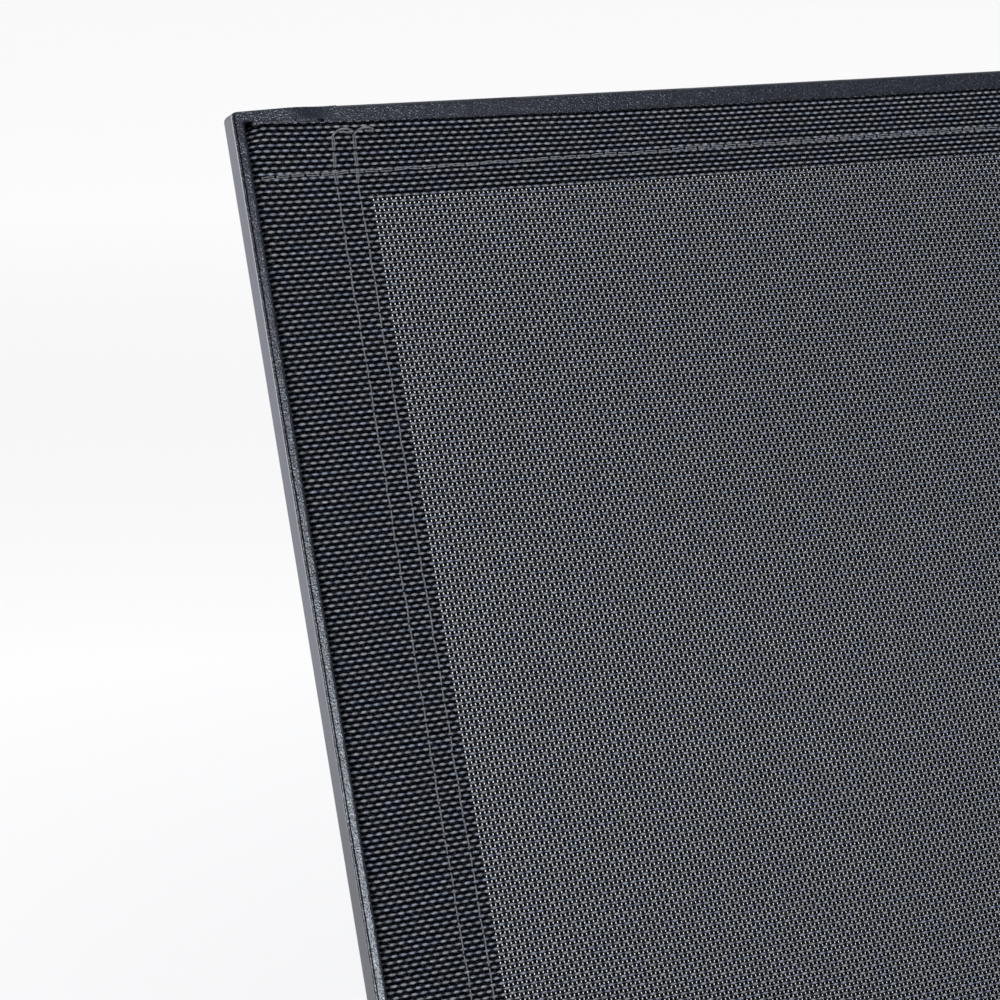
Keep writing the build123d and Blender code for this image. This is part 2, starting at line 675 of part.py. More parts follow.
strut_pin_start = -EAR_OUTER - PIN_HEAD_HEIGHT
with BuildPart() as strut_pin:
    with BuildSketch(on_back(across(strut_pin_start, STRUT_LENGTH))):
        Circle(PIN_HEAD / 2)
    extrude(amount=PIN_HEAD_HEIGHT)
    with BuildSketch(on_back(across(-EAR_OUTER, STRUT_LENGTH))):
        Circle(HINGE_BOLT / 2)
    extrude(amount=EAR_OUTER - STRUT_INNER + NUT_HEIGHT + RUNNING)
save_group("strut_pins", strut_pin.part)

washer_plane = on_back(across(-EAR_INNER, STRUT_LENGTH))
washer = rod(washer_plane, WASHER_DIAMETER, WASHER_GAP - RUNNING, HINGE_BOLT + FIT)
save_group("strut_washers", washer)

with BuildPart() as strut_nut:
    with BuildSketch(on_back(across(-STRUT_INNER + RUNNING, STRUT_LENGTH))):
        RegularPolygon(HINGE_NUT / 2, 6, major_radius=False)
        Circle((HINGE_BOLT + FIT) / 2, mode=Mode.SUBTRACT)
    extrude(amount=NUT_HEIGHT)
save_group("strut_nuts", strut_nut.part)

# Strut: two legs, the foot bar that drops into the racks and a stay between the legs
with BuildPart() as strut_leg:
    with BuildSketch(Plane(STRUT.location * across(-STRUT_OUTER).location)):
        Rectangle(STRUT_LENGTH, STRUT_DEPTH, align=(Align.MIN, Align.CENTER))
        Circle(STRUT_DEPTH / 2)
        with Locations((STRUT_LENGTH, 0)):
            Circle((FOOT_BAR + FIT) / 2, mode=Mode.SUBTRACT)
        Circle(HINGE_BOLT / 2 + RUNNING, mode=Mode.SUBTRACT)
    extrude(amount=STRUT_WIDTH)
save_pair("strut_leg", strut_leg.part)

foot_bar_half = RACK_OUTER - RUNNING - FOOT_BAR_CAP
foot_plane = Plane(STRUT.location * across(0, STRUT_LENGTH).location)
save("strut_foot_bar", tube(foot_plane, FOOT_BAR, foot_bar_half))
foot_cap_plane = Plane(STRUT.location * across(-foot_bar_half, STRUT_LENGTH).location)
save_group("foot_bar_caps", rod(foot_cap_plane, FOOT_BAR, -FOOT_BAR_CAP))
stay_plane = Plane(STRUT.location * across(0, STAY_DISTANCE).location)
save("strut_stay", tube(stay_plane, STAY_TUBE, STRUT_INNER))

# Slings and the rods in their edges
back_sling_top = BACK_LENGTH - SLING_REVEAL
back_sling_plane = on_back(endways(0, back_sling_top, HINGE_DEPTH))
save("back_sling", sling(back_sling_plane, BACK_OUTER, back_sling_top - BOTTOM_RAIL_START))
back_rod_plane = on_back(endways(-BACK_OUTER + BORE_X, back_sling_top, HINGE_DEPTH - BORE_DEPTH))
save_group("back_sling_rods", rod(back_rod_plane, ROD_DIAMETER, back_sling_top - BOTTOM_RAIL_START))

seat_sling_rear = HINGE_Y - SEAT_SLING_END
seat_sling_length = seat_sling_rear + RAIL_END - SLING_REVEAL
seat_sling_plane = endways(0, seat_sling_rear, FRAME_TOP)
save("seat_sling", sling(seat_sling_plane, RAIL_OUTER, seat_sling_length))
seat_rod_plane = endways(-RAIL_OUTER + BORE_X, seat_sling_rear, FRAME_TOP - BORE_DEPTH)
save_group("seat_sling_rods", rod(seat_rod_plane, ROD_DIAMETER, seat_sling_length))
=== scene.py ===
"""Finishes and soft parts of the reclining sun lounger, in metres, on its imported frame."""

import json
import random
from math import cos, hypot, pi, radians, sin

import bmesh
import bpy
from mathutils import Matrix, Vector


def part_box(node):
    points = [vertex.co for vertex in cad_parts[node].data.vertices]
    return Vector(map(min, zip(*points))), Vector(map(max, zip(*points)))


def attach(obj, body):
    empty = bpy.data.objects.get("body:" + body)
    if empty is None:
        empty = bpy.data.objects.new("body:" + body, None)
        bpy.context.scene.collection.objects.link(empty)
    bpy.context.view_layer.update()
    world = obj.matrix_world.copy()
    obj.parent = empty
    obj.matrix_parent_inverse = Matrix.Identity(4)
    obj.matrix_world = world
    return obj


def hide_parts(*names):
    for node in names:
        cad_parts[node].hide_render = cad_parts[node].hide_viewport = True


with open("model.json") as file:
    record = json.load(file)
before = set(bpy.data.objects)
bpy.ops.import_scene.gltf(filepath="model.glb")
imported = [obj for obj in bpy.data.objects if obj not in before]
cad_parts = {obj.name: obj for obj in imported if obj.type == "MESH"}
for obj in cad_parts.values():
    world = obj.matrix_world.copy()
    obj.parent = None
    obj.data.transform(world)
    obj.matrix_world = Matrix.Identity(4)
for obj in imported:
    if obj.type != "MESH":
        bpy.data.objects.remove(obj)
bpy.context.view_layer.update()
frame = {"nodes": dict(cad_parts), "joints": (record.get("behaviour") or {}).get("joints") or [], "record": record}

MM = 0.001
joints = {joint["name"]: joint for joint in frame["joints"]}

# The backrest as it stands: x across, y up the backrest, z towards the person
BACK_ANGLE = radians(70)
hinge = Vector(joints["recline"]["pos_m"])
BACK = Matrix.Translation(hinge) @ Matrix.Rotation(BACK_ANGLE, 4, "X")
seat_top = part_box("base_rail_left")[1].z
SEAT = Matrix.Translation((0, 0, seat_top))
BACK_LIP = 34 * MM  # from the hinge axis to the lips of the back rails

# The cloth, in millimetres
WARP_PITCH = 1.25
WEFT_PITCH = 1.41
PLY = 0.4
PLY_GAP = 0.05  # between the two plies of a hem
CLOTH_DROP = 0.9  # from the lips of the rails down to the cloth's face
HEM_WIDTH = 30.3  # from the slot to the fold's inner edge
HEM_DEPTH = 18.8  # of the hem across each end
BACK_SLING_ENDS = (10.0, 707.2)  # up the backrest from the hinge axis
HEM_ROWS = 5  # of faces across an end hem
ROW_LENGTH = 12.0  # of the faces between the hems
UV_START = (800.0, 1600.0)  # beyond the cloth's edge, so that nothing on its map is negative

# The rails' slot and the rod in it, in millimetres from the rail's outer face and its lip
SLOT_INSET = 4.0
ROD_INSET = 6.5
ROD_DEPTH = 6.3
LOOP_RADIUS = 2.35  # of the cloth's middle round the rod
BEND_RADIUS = 1.6  # where the cloth turns down into the slot

# How the cloth is pulled where it ends, in millimetres
PULL_REACH = 30.0  # over which the rows bend
PULL_RISE = 2.6  # of the rows' outer ends
PULL_SAG = 1.6  # of the rows' middles
TUCK_REACH = 6.0
TUCK = 1.3  # of the corners, into the slot
TUCK_START = 0.985  # of the half width, where the tuck begins

# The seams, in millimetres
SEAM_OUT = 21.8  # the outer side seam, from the slot
SEAM_GAUGE = 6.0
SEAM_INSETS = (SEAM_OUT, SEAM_OUT + SEAM_GAUGE)
END_SEAM = 12.8  # from the cloth's end
SEAM_MARGIN = 1.5  # where a seam stops short of the cloth's edge
TACK_MARGIN = 3.0  # where the side seams stop short of the upper end
BEHIND_MARGINS = (3.5, 5.0)  # the same behind the cloth, at the lower and the upper end
LOOP_MARGIN = 26.0  # the end seams behind stop short of the side loops
STITCH = 4.1
THREAD = 0.36
END_THREAD = 0.25  # the finer thread of the end seams
TAIL = 0.5  # a loose end, whose plies have opened
TACK = 16.0  # the side seams are sewn twice over this length at their upper end
TACK_SPREAD = 0.55  # between the two threads there
END_SPREAD = 0.54  # between the two threads of an end seam
SIDES = 6  # of a thread's section
SEED = 740


# Nodes and colours


def linear(value):
    """An sRGB hex colour as a linear RGBA colour."""
    parts = [int(value[i : i + 2], 16) / 255 for i in (0, 2, 4)]
    return (*[c / 12.92 if c <= 0.04045 else ((c + 0.055) / 1.055) ** 2.4 for c in parts], 1)


def add(tree, kind, inputs=None, **settings):
    """Adds a node with its settings, and its inputs as values or links. Returns the node."""
    made = tree.nodes.new(kind)
    for name, value in settings.items():
        setattr(made, name, value)
    for key, value in (inputs or {}).items():
        if isinstance(value, bpy.types.Node):
            value = next(socket for socket in value.outputs if socket.enabled)
        if isinstance(value, bpy.types.NodeSocket):
            tree.links.new(value, made.inputs[key])
        else:
            made.inputs[key].default_value = value
    return made


def begin(name):
    """A new material with only its output node."""
    material = bpy.data.materials.new(name)
    material.use_nodes = True
    tree = material.node_tree
    tree.nodes.clear()
    return material, tree


WANDER = 0.0006  # of the yarns, in metres from end to end of the noise
NO_YARN = -3.0  # added to the height where no yarn lies, so that the cloth is open there


def weave(tree):
    """Plain weave of round yarns on the cloth's own UV map, which is in metres.

    Returns which yarn is on top (1 is the weft), the height there, and the yarn's own shade.
    """
    place = add(tree, "ShaderNodeUVMap", uv_map="cloth")
    # The yarns wander by about a tenth of a millimetre over some 40 mm
    wander = add(tree, "ShaderNodeTexNoise", {"Vector": place, "Scale": 25, "Detail": 2})
    sway = add(
        tree,
        "ShaderNodeVectorMath",
        {0: wander.outputs["Color"], 1: (0.5, 0.5, 0.5), 2: (0, 0, 0)},
        operation="SUBTRACT",
    )
    bent = add(
        tree,
        "ShaderNodeVectorMath",
        {0: sway, 1: (WANDER, WANDER, 0), 2: place},
        operation="MULTIPLY_ADD",
    )
    counts = (1000 / WARP_PITCH, 1000 / WEFT_PITCH, 0)
    thread = add(tree, "ShaderNodeVectorMath", {0: bent, 1: counts}, operation="MULTIPLY")
    cell = add(tree, "ShaderNodeVectorMath", {0: thread}, operation="FLOOR")
    inside = add(tree, "ShaderNodeVectorMath", {0: thread}, operation="FRACTION")
    centred = add(
        tree,
        "ShaderNodeVectorMath",
        {0: inside, 1: (0.5, 0.5, 0.5)},
        operation="SUBTRACT",
    )
    count = add(
        tree,
        "ShaderNodeVectorMath",
        {0: cell, 1: (1, 1, 0)},
        operation="DOT_PRODUCT",
    ).outputs["Value"]
    odd = add(tree, "ShaderNodeMath", {0: count, 1: 2.0}, operation="FLOORED_MODULO")
    turn = add(tree, "ShaderNodeMath", {0: odd, 1: -2.0, 2: 1.0}, operation="MULTIPLY_ADD")
    split = add(tree, "ShaderNodeSeparateXYZ", {0: centred})
    across, along = split.outputs[0], split.outputs[1]
    heights = []
    # Each yarn's run and side, the pitch beside it, how far it swings up and down, its
    # half width, the height of its crown and the height of its edges, in millimetres.
    # The stiffer weft lies nearly straight, and the warp bends round it.
    yarns = (
        (across, along, WEFT_PITCH, 0.13, 0.465, 0.75, -0.05),
        (along, across, WARP_PITCH, -0.32, 0.395, 0.40, -0.10),
    )
    for run, side, pitch, swing, half, depth, lift in yarns:
        angle = add(tree, "ShaderNodeMath", {0: run, 1: pi}, operation="MULTIPLY")
        wave = add(tree, "ShaderNodeMath", {0: angle}, operation="COSINE")
        signed = add(tree, "ShaderNodeMath", {0: wave, 1: turn}, operation="MULTIPLY")
        swung = add(tree, "ShaderNodeMath", {0: signed, 1: swing}, operation="MULTIPLY")
        off = add(tree, "ShaderNodeMath", {0: side, 1: pitch / half}, operation="MULTIPLY")
        square = add(tree, "ShaderNodeMath", {0: off, 1: off}, operation="MULTIPLY")
        left = add(tree, "ShaderNodeMath", {0: 1.0, 1: square}, operation="SUBTRACT")
        kept = add(tree, "ShaderNodeMath", {0: left, 1: 0.0}, operation="MAXIMUM")
        root = add(tree, "ShaderNodeMath", {0: kept}, operation="SQRT")
        raised = add(tree, "ShaderNodeMath", {0: swung, 1: lift}, operation="ADD")
        crown = add(
            tree,
            "ShaderNodeMath",
            {0: root, 1: depth, 2: raised},
            operation="MULTIPLY_ADD",
        )
        empty = add(tree, "ShaderNodeMath", {0: left, 1: 0.0}, operation="LESS_THAN")
        height = add(
            tree,
            "ShaderNodeMath",
            {0: empty, 1: NO_YARN, 2: crown},
            operation="MULTIPLY_ADD",
        )
        heights.append(height)
    both = {0: heights[0], 1: heights[1]}
    weft_on_top = add(tree, "ShaderNodeMath", both, operation="GREATER_THAN")
    height = add(tree, "ShaderNodeMath", both, operation="MAXIMUM")
    # Each float takes the light a little differently
    float_noise = add(tree, "ShaderNodeTexWhiteNoise", {"Vector": cell}, noise_dimensions="2D")
    return weft_on_top, height, float_noise.outputs["Value"]


def cloth_material(name, open_weave):
    """Sling cloth: PVC-coated polyester yarn, woven and heat set, so that it keeps open holes.

    The coated yarn is dull, so the eye reads it by its light floats and the deep shade
    between them. The weft is a mid grey in long floats, the warp is darker and lies lower,
    and short bits of both are bluer, so that the cloth looks blue-black from afar.
    """
    material, tree = begin(name)
    weft_on_top, height, own = weave(tree)
    place = add(tree, "ShaderNodeUVMap", uv_map="cloth")
    # Bits of a bluer yarn, some 8 mm long and 2.4 mm wide, drawn out along the weft
    stretched = add(
        tree,
        "ShaderNodeMapping",
        {"Vector": place, "Scale": (120, 420, 1)},
    )
    patches = add(tree, "ShaderNodeTexNoise", {"Vector": stretched, "Scale": 1, "Detail": 3})
    blue = add(
        tree,
        "ShaderNodeMapRange",
        {"Value": patches.outputs["Fac"], "From Min": 0.42, "From Max": 0.62},
    )
    weft = add(
        tree,
        "ShaderNodeMix",
        {"Factor": blue, 6: linear("6f6f72"), 7: linear("696d78")},
        data_type="RGBA",
    ).outputs[2]
    warp = add(
        tree,
        "ShaderNodeMix",
        {"Factor": blue, 6: linear("4e5056"), 7: linear("464c5a")},
        data_type="RGBA",
    ).outputs[2]
    yarn = add(
        tree,
        "ShaderNodeMix",
        {"Factor": weft_on_top, 6: warp, 7: weft},
        data_type="RGBA",
    ).outputs[2]
    # The yarns' flanks and the ends of the floats lie in each other's shade
    depth = add(
        tree,
        "ShaderNodeMapRange",
        {"Value": height, "From Min": 0.54, "From Max": 0.76, "To Min": 0.0, "To Max": 1.0},
    )
    own_light = add(
        tree,
        "ShaderNodeMapRange",
        {"Value": own, "To Min": 0.72, "To Max": 1.04},
    )
    # Filaments catch the light in specks of a quarter of a millimetre
    specks = add(tree, "ShaderNodeTexNoise", {"Vector": place, "Scale": 3600, "Detail": 1})
    speck_light = add(
        tree,
        "ShaderNodeMapRange",
        {
            "Value": specks.outputs["Fac"],
            "From Min": 0.35,
            "From Max": 0.65,
            "To Min": 0.55,
            "To Max": 1.45,
        },
    )
    lit = add(tree, "ShaderNodeMath", {0: depth, 1: own_light}, operation="MULTIPLY")
    # Stray filaments glint between the floats too
    stray = add(
        tree,
        "ShaderNodeMapRange",
        {"Value": specks.outputs["Fac"], "From Min": 0.6, "From Max": 0.72, "To Max": 0.5},
    )
    shade = add(
        tree,
        "ShaderNodeMath",
        {0: lit, 1: speck_light, 2: stray},
        operation="MULTIPLY_ADD",
    )
    colour = add(
        tree,
        "ShaderNodeMix",
        {"Factor": shade, 6: linear("010204"), 7: yarn},
        data_type="RGBA",
        clamp_factor=False,
    ).outputs[2]
    bump = add(
        tree,
        "ShaderNodeBump",
        {"Height": height, "Distance": 0.001, "Strength": 0.6},
    )
    shader = add(
        tree,
        "ShaderNodeBsdfPrincipled",
        {
            "Base Color": colour,
            "Roughness": 0.6,
            "IOR": 1.5,
            "Specular IOR Level": 0.0,
            "Normal": bump,
        },
    )
    # Only the open cloth lets light through its holes; on the hems the holes keep the painted shade of the deep
    # gaps, which stands in for the back ply seen in shade through them
    if open_weave:
        covered = add(tree, "ShaderNodeMath", {0: height, 1: -1.0}, operation="GREATER_THAN")
        tree.links.new(covered.outputs[0], shader.inputs["Alpha"])
    add(tree, "ShaderNodeOutputMaterial", {"Surface": shader})
    return material


def coat_material(name, dark, light, rough):
    """Powder-coated aluminium: a fine-texture polyester powder, sprayed on dry and baked.

    Its grain breaks the light into small flecks on the faces seen square on, and smooths
    out to a pale sheen where the face is seen at a slant.
    """
    material, tree = begin(name)
    place = add(tree, "ShaderNodeTexCoord").outputs["Object"]
    # The grain of the powder, drawn 0.4 mm across, as coarse as it needs to be to show
    grain = add(
        tree,
        "ShaderNodeTexNoise",
        {"Vector": place, "Scale": 2400, "Detail": 1, "Roughness": 0.5},
    ).outputs["Fac"]
    # Long low waves where the coat ran level in the oven, about 3 mm across
    flow = add(
        tree,
        "ShaderNodeTexNoise",
        {"Vector": place, "Scale": 300, "Detail": 2},
    ).outputs["Fac"]
    fleck = add(
        tree,
        "ShaderNodeMapRange",
        {"Value": grain, "From Min": 0.53, "From Max": 0.66},
    )
    # The powder lies smoother on the outer faces, which were sprayed square on
    facing = add(tree, "ShaderNodeNewGeometry").outputs["True Normal"]
    sideways = add(tree, "ShaderNodeSeparateXYZ", {0: facing}).outputs[0]
    outward = add(tree, "ShaderNodeMath", {0: sideways}, operation="ABSOLUTE")
    rough_share = add(
        tree,
        "ShaderNodeMapRange",
        {"Value": outward, "From Min": 0.5, "From Max": 0.9, "To Min": 1.0, "To Max": 0.15},
    )
    grained = add(tree, "ShaderNodeMath", {0: fleck, 1: rough_share}, operation="MULTIPLY")
    # Handling has left the coat a little duller in places, a hand's breadth across
    worn = add(
        tree,
        "ShaderNodeTexNoise",
        {"Vector": place, "Scale": 14, "Detail": 4},
    ).outputs["Fac"]
    worn_light = add(tree, "ShaderNodeMath", {0: worn, 1: 0.08}, operation="MULTIPLY")
    mixed = add(
        tree,
        "ShaderNodeMath",
        {0: grained, 1: 0.48, 2: worn_light},
        operation="MULTIPLY_ADD",
    )
    colour = add(
        tree,
        "ShaderNodeMix",
        {"Factor": mixed, 6: linear(dark), 7: linear(light)},
        data_type="RGBA",
    ).outputs[2]
    waves = add(tree, "ShaderNodeMath", {0: flow, 1: 0.4}, operation="MULTIPLY")
    height = add(
        tree,
        "ShaderNodeMath",
        {0: grain, 1: 0.7, 2: waves},
        operation="MULTIPLY_ADD",
    )
    level = add(tree, "ShaderNodeMath", {0: height, 1: rough_share}, operation="MULTIPLY")
    bump = add(
        tree,
        "ShaderNodeBump",
        {"Height": level, "Distance": 0.00017, "Strength": 1.0},
    )
    roughness = add(
        tree,
        "ShaderNodeMapRange",
        {"Value": worn, "To Min": rough - 0.06, "To Max": rough + 0.08},
    )
    shader = add(
        tree,
        "ShaderNodeBsdfPrincipled",
        {"Base Color": colour, "Roughness": roughness, "IOR": 1.5, "Normal": bump},
    )
    add(tree, "ShaderNodeOutputMaterial", {"Surface": shader})
    return material


def plastic_material(name, dark, light, grain_mm, rough):
    """Moulded plastic or rubber: the spark-eroded mould leaves a fine even grain on it.

    The grain, grain_mm across, takes the shine off, and the faint clouds are the material's
    own, as it cooled in the mould.
    """
    material, tree = begin(name)
    place = add(tree, "ShaderNodeTexCoord").outputs["Object"]
    grain = add(
        tree,
        "ShaderNodeTexVoronoi",
        {"Vector": place, "Scale": 1000 / grain_mm},
    ).outputs["Distance"]
    cloud = add(
        tree,
        "ShaderNodeTexNoise",
        {"Vector": place, "Scale": 90, "Detail": 4},
    ).outputs["Fac"]
    colour = add(
        tree,
        "ShaderNodeMix",
        {"Factor": cloud, 6: linear(dark), 7: linear(light)},
        data_type="RGBA",
    ).outputs[2]
    bump = add(
        tree,
        "ShaderNodeBump",
        {"Height": grain, "Distance": 0.0001, "Strength": 0.4},
    )
    roughness = add(
        tree,
        "ShaderNodeMapRange",
        {"Value": cloud, "To Min": rough - 0.08, "To Max": rough + 0.08},
    )
    shader = add(
        tree,
        "ShaderNodeBsdfPrincipled",
        {"Base Color": colour, "Roughness": roughness, "IOR": 1.5, "Normal": bump},
    )
    add(tree, "ShaderNodeOutputMaterial", {"Surface": shader})
    return material


def steel_material(name):
    """Stainless steel screws: turned, then passivated, which leaves fine rings and a soft shine."""
    material, tree = begin(name)
    place = add(tree, "ShaderNodeTexCoord").outputs["Object"]
    # Turning marks run round the bolts, which all lie across the lounger
    rings = add(
        tree,
        "ShaderNodeMapping",
        {"Vector": place, "Scale": (3000, 400, 400)},
    )
    marks = add(
        tree,
        "ShaderNodeTexNoise",
        {"Vector": rings, "Scale": 1, "Detail": 3},
    ).outputs["Fac"]
    tint = add(
        tree,
        "ShaderNodeMix",
        {"Factor": marks, 6: linear("b4b5b8"), 7: linear("d2d2d0")},
        data_type="RGBA",
    ).outputs[2]
    bump = add(tree, "ShaderNodeBump", {"Height": marks, "Distance": 0.0001, "Strength": 0.2})
    roughness = add(
        tree,
        "ShaderNodeMapRange",
        {"Value": marks, "To Min": 0.22, "To Max": 0.4},
    )
    shader = add(
        tree,
        "ShaderNodeBsdfPrincipled",
        {"Base Color": tint, "Metallic": 1.0, "Roughness": roughness, "Normal": bump},
    )
    add(tree, "ShaderNodeOutputMaterial", {"Surface": shader})
    return material


def thread_material(name, dark, light):
    """Bonded polyester sewing thread: three plies twisted together under a thin resin."""
    material, tree = begin(name)
    place = add(tree, "ShaderNodeUVMap", uv_map="cloth")
    # One turn of the twist is about 1.2 mm: painted shade in its grooves, painted light on crowns
    twist = add(
        tree,
        "ShaderNodeTexWave",
        {"Vector": place, "Scale": 420, "Distortion": 0.6, "Detail": 1},
        wave_type="BANDS",
        bands_direction="DIAGONAL",
    ).outputs["Fac"]
    colour = add(
        tree,
        "ShaderNodeMix",
        {"Factor": twist, 6: linear(dark), 7: linear(light)},
        data_type="RGBA",
    ).outputs[2]
    bump = add(tree, "ShaderNodeBump", {"Height": twist, "Distance": 0.0001, "Strength": 0.6})
    shader = add(
        tree,
        "ShaderNodeBsdfPrincipled",
        {
            "Base Color": colour,
            "Roughness": 0.6,
            "IOR": 1.5,
            "Sheen Weight": 0.2,
            "Normal": bump,
        },
    )
    add(tree, "ShaderNodeOutputMaterial", {"Surface": shader})
    return material


powder_coat = coat_material("powder_coated_aluminium", "0c0e16", "343a47", 0.24)
nylon = plastic_material("moulded_black_nylon", "17181a", "26272a", 0.6, 0.5)
rubber = plastic_material("moulded_rubber", "141414", "222120", 0.9, 0.75)
rod_plastic = plastic_material("extruded_edge_rod", "1b1c1e", "2c2d30", 1.2, 0.45)
steel = steel_material("turned_stainless_steel")
open_cloth = cloth_material("woven_coated_yarn_open", True)
hem_cloth = cloth_material("woven_coated_yarn_folded", False)
side_thread = thread_material("charcoal_polyester_thread", "2a2b2f", "48494e")
end_thread = thread_material("grey_polyester_thread", "34353a", "55575c")

# The CAD nodes keep their shapes and take the better finishes
finish_of_slot = {
    "powder_coated_frame": powder_coat,
    "black_plastic": nylon,
    "rubber": rubber,
    "edge_rod": rod_plastic,
    "stainless": steel,
}
slot_of_node = {
    part["node"]: part["material_slot"]
    for part in frame["record"]["subparts"]
    if part.get("material_slot")
}
for name, cad_node in frame["nodes"].items():
    finish = finish_of_slot.get(slot_of_node.get(name), powder_coat)
    cad_node.data.materials.clear()
    cad_node.data.materials.append(finish)


# Slings


def sling_path(outer):
    """Half the path of the cloth across the lounger, from the middle to the hem's end.

    outer is half the width over the rails. x runs outward and y up from the lips. The
    cloth dips through the slot, goes round the edge rod and comes back under itself.
    """
    top = -CLOTH_DROP - PLY / 2
    slot = outer - SLOT_INSET - PLY / 2
    rod = Vector((outer - ROD_INSET, -ROD_DEPTH))
    hem = outer - SLOT_INSET - HEM_WIDTH
    turn = slot - BEND_RADIUS
    fine = 5  # the millimetres before the turn, with a column in each
    points = [(hem * i / 20, top) for i in range(21)]
    points += [(hem + (turn - fine - hem) * i / 5, top) for i in range(1, 6)]
    points += [(turn - fine + i, top) for i in range(1, fine + 1)]
    for i in range(1, 5):
        a = pi / 2 * i / 4
        points.append((turn + BEND_RADIUS * sin(a), top - BEND_RADIUS + BEND_RADIUS * cos(a)))
    # Nearly once round the rod
    for i in range(15):
        a = -2 * pi * i / 16
        points.append((rod.x + LOOP_RADIUS * cos(a), rod.y + LOOP_RADIUS * sin(a)))
    # Up through the slot again, beside the first ply, and back under the cloth
    inner = slot - 1.9 * PLY
    points.append((inner, rod.y + LOOP_RADIUS + 0.2))
    bend = 0.85
    low = top - PLY - 0.9
    points.append((inner, low))
    for i in range(1, 4):
        a = pi / 2 * i / 3
        points.append((inner - bend * (1 - cos(a)), low + bend * sin(a)))
    back = top - PLY - PLY_GAP
    points += [(inner - bend + (hem - inner + bend) * i / 6, back) for i in range(1, 7)]
    return points


def sheet_grid(name, columns, rows, place, finish_of):
    """A sheet through columns of (across, x, y) and rows of lengths, given its thickness.

    place turns (x, length, y) into the world's place. The UV map holds metres of cloth.
    finish_of gives the material's number at (across, length).
    """
    mesh = bpy.data.meshes.new(name)
    wide = len(columns)
    points = [place(x, s, y) for s in rows for u, x, y in columns]
    faces = [
        (r * wide + c, r * wide + c + 1, (r + 1) * wide + c + 1, (r + 1) * wide + c)
        for r in range(len(rows) - 1)
        for c in range(wide - 1)
    ]
    mesh.from_pydata(points, [], faces)
    uv = mesh.uv_layers.new(name="cloth")
    for polygon in mesh.polygons:
        for corner in polygon.loop_indices:
            r, c = divmod(mesh.loops[corner].vertex_index, wide)
            on_cloth = Vector((columns[c][0], rows[r])) + Vector(UV_START)
            uv.data[corner].uv = on_cloth * MM
        r, c = divmod(polygon.vertices[0], wide)
        middle = ((columns[c][0] + columns[c + 1][0]) / 2, (rows[r] + rows[r + 1]) / 2)
        polygon.material_index = finish_of(*middle)
        polygon.use_smooth = True
    mesh.materials.append(open_cloth)
    mesh.materials.append(hem_cloth)
    piece = bpy.data.objects.new(name, mesh)
    bpy.context.scene.collection.objects.link(piece)
    bpy.ops.object.select_all(action="DESELECT")
    piece.select_set(True)
    bpy.context.view_layer.objects.active = piece
    solid = piece.modifiers.new("ply", "SOLIDIFY")
    solid.thickness = PLY * MM
    solid.offset = 0
    bpy.ops.object.modifier_apply(modifier="ply")
    return piece


def thread_tube(mesh, rings):
    """Closes rings of (length along the thread, corners) into a tube, with UVs in metres."""
    uv = mesh.loops.layers.uv.verify()
    width = 0.22  # of one side, in millimetres
    for (low, one), (high, two) in zip(rings, rings[1:]):
        for k in range(SIDES):
            face = mesh.faces.new((one[k], one[k - 1], two[k - 1], two[k]))
            face.smooth = True
            corners = ((low, k), (low, k - 1), (high, k - 1), (high, k))
            for loop, (length, turn) in zip(face.loops, corners):
                loop[uv].uv = (length * MM, turn * width * MM)
    mesh.faces.new(rings[0][1])
    mesh.faces.new(reversed(rings[-1][1]))


def stitch_row(mesh, start, end, front, jitter, doubled=0.0, thread=THREAD):
    """A row of stitches in bmesh from start to end, both (x, s), lying on the height front.

    doubled is how far apart its two threads lie, if it has two.
    """
    start, end = Vector(start), Vector(end)
    run = (end - start).length
    way = (end - start) / run
    side = Vector((-way.y, way.x))
    count = max(1, round(run / STITCH))
    step = run / count
    stray = 0.22  # of a needle hole to either side
    holes = [
        start + way * step * i + side * jitter.uniform(-stray, stray) for i in range(count + 1)
    ]
    strands = (-doubled / 2, doubled / 2) if doubled else (0.0,)
    # The thread comes out of one hole, lies on the cloth and dives into the next
    profile = ((0, -0.4), (0.1, 0.0), (0.35, 0.12), (0.65, 0.12), (0.9, 0.0), (1, -0.4))
    for a, b in zip(holes, holes[1:]):
        for shift in strands:
            slack = 0.4 * shift + jitter.uniform(-0.05, 0.05)
            rings = []
            for share, lift in profile:
                bow = 4 * share * (1 - share)
                middle = a.lerp(b, share) + side * (0.6 * shift + slack * bow)
                ring = []
                for k in range(SIDES):
                    angle = 2 * pi / SIDES * k
                    out = middle + side * (thread / 2 * cos(angle))
                    height = front + lift + thread / 2 * sin(angle)
                    ring.append(mesh.verts.new((out.x, out.y, height)))
                rings.append((share * step, ring))
            thread_tube(mesh, rings)


def thread_tail(mesh, points, front):
    """A loose end of thread in bmesh, through points of (x, s, lift above the cloth)."""
    path = [Vector((x, s, front + lift)) for x, s, lift in points]
    spacing = 0.6  # from one ring to the next, on the UV map
    rings = []
    for i, point in enumerate(path):
        way = (path[min(i + 1, len(path) - 1)] - path[max(i - 1, 0)]).normalized()
        one = way.cross(Vector((0, 0, 1))).normalized()
        two = one.cross(way)
        ring = []
        for k in range(SIDES):
            angle = 2 * pi / SIDES * k
            ring.append(mesh.verts.new(point + (one * cos(angle) + two * sin(angle)) * TAIL / 2))
        rings.append((i * spacing, ring))
    thread_tube(mesh, rings)


def finish_threads(name, mesh, matrix, finish):
    """Makes an object of a bmesh of threads in millimetres, placed by matrix."""
    bmesh.ops.transform(mesh, matrix=matrix @ Matrix.Scale(MM, 4), verts=mesh.verts)
    # matrix may mirror the threads, which turns their faces round
    bmesh.ops.recalc_face_normals(mesh, faces=mesh.faces)
    data = bpy.data.meshes.new(name)
    mesh.to_mesh(data)
    mesh.free()
    data.uv_layers[0].name = "cloth"
    data.materials.append(finish)
    piece = bpy.data.objects.new(name, data)
    bpy.context.scene.collection.objects.link(piece)
    return piece


